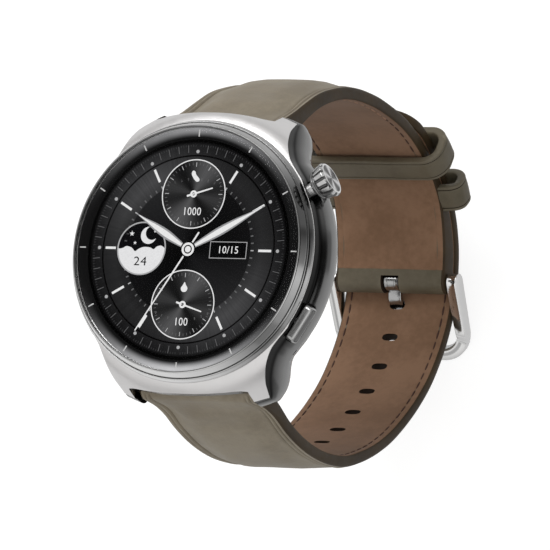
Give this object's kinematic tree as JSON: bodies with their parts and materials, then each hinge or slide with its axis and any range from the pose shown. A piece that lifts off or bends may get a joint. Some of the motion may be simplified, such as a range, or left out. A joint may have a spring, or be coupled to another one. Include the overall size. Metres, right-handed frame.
{
  "type": "smartwatch",
  "caption": "Round smartwatch in a steel case with a rotating crown, a side button, a glass dial and a leather strap closed by a tang buckle.",
  "frame": {"origin": "middle of the flat wrist-side face of the sensor window", "axes": "+Z is the dial normal, out of the glass; +Y is 12 o'clock; +X is 3 o'clock, the crown side"},
  "size_m": [0.0499, 0.0671, 0.093],
  "materials": {
    "satin_steel": "satin brushed",
    "polished_steel": "polished",
    "crystal_glass": "clear, polished",
    "display_black": "glossy black with a dial",
    "mask_black": "glossy dark grey",
    "black_plastic": "matt",
    "back_glass": "glossy black",
    "circuit_board": "green lacquer",
    "bare_metal": "plain",
    "battery_wrap": "matt film",
    "copper": "enamelled wire",
    "seal_rubber": "matt",
    "switch_metal": "plain",
    "nylon": "natural",
    "outer_leather": "smooth grain, semi-gloss",
    "lining_leather": "fine grain, matt"
  },
  "bodies": {
    "case": {"case_body": "satin_steel", "bezel_ring": "polished_steel", "crystal_gasket": "seal_rubber", "crystal": "crystal_glass", "chapter_ring": "mask_black", "display_panel": "display_black", "inner_chassis": "black_plastic", "main_board": "circuit_board", "shield_can": "bare_metal", "battery": "battery_wrap", "haptic_housing": "bare_metal", "speaker_module": "black_plastic", "microphone": "bare_metal", "sensor_board": "circuit_board", "charging_coil": "copper", "rear_gasket": "seal_rubber", "rear_cover": "black_plastic", "sensor_window": "back_glass", "rear_screw_1": "switch_metal", "rear_screw_2": "switch_metal", "rear_screw_3": "switch_metal", "rear_screw_4": "switch_metal", "crown_tube": "switch_metal", "crown_seal": "seal_rubber", "crown_switch": "switch_metal", "button_seal": "seal_rubber", "button_switch": "switch_metal"},
    "haptic_slug": {"haptic_mass": "switch_metal"},
    "crown_pusher": {"crown_plunger": "nylon"},
    "crown": {"crown_cap": "polished_steel", "crown_stem": "switch_metal"},
    "side_button": {"button_cap": "satin_steel"},
    "short_strap": {"short_strap_leather": "outer_leather", "short_strap_lining": "lining_leather", "short_strap_bar_tube": "switch_metal", "short_strap_bar_end": "switch_metal", "fixed_keeper": "outer_leather"},
    "short_release": {"short_strap_release_pin": "switch_metal"},
    "long_strap": {"long_strap_leather": "outer_leather", "long_strap_lining": "lining_leather", "long_strap_bar_tube": "switch_metal", "long_strap_bar_end": "switch_metal"},
    "long_release": {"long_strap_release_pin": "switch_metal"},
    "loose_keeper": {"free_keeper": "outer_leather"},
    "buckle": {"buckle_frame": "polished_steel", "buckle_bar": "switch_metal"},
    "buckle_tang": {"tang": "polished_steel"}
  },
  "joints": [
    {"name": "haptic_vibration", "type": "slide", "parent": "case", "child": "haptic_slug", "axis": [1, 0, 0], "range_m": [-0.0003, 0.0003]},
    {"name": "crown_press", "type": "slide", "parent": "case", "child": "crown_pusher", "axis": [-0.8712, -0.4909, 0], "range_m": [0, 0.0004]},
    {"name": "crown_rotation", "type": "hinge", "parent": "crown_pusher", "child": "crown", "pos_m": [0.02187, 0.01232, 0.0071], "axis": [0.8712, 0.4909, 0], "continuous": true},
    {"name": "side_button_press", "type": "slide", "parent": "case", "child": "side_button", "axis": [-0.8704, 0.4924, 0], "range_m": [0, 0.0004]},
    {"name": "short_strap_hinge", "type": "hinge", "parent": "case", "child": "short_strap", "pos_m": [0, 0.0227, 0.0008], "axis": [1, 0, 0], "range_deg": [0, 60], "deforming": ["short_strap_leather", "short_strap_lining", "fixed_keeper"]},
    {"name": "long_strap_hinge", "type": "hinge", "parent": "case", "child": "long_strap", "pos_m": [0, -0.0227, 0.0008], "axis": [-1, 0, 0], "range_deg": [0, 60], "deforming": ["long_strap_leather", "long_strap_lining"]},
    {"name": "short_strap_quick_release", "type": "slide", "parent": "short_strap", "child": "short_release", "axis": [-1, 0, 0], "range_m": [0, 0.0014]},
    {"name": "long_strap_quick_release", "type": "slide", "parent": "long_strap", "child": "long_release", "axis": [-1, 0, 0], "range_m": [0, 0.0014]},
    {"name": "loose_keeper_slide", "type": "hinge", "parent": "short_strap", "child": "loose_keeper", "pos_m": [0, -0.00537, -0.03786], "axis": [1, 0, 0], "range_deg": [0, 14]},
    {"name": "buckle_hinge", "type": "hinge", "parent": "short_strap", "child": "buckle", "pos_m": [0, 0.0095, -0.0704], "axis": [1, 0, 0], "range_deg": [-20, 60]},
    {"name": "tang_hinge", "type": "hinge", "parent": "buckle", "child": "buckle_tang", "pos_m": [0, 0.0095, -0.0704], "axis": [1, 0, 0], "range_deg": [0, 50]}
  ]
}
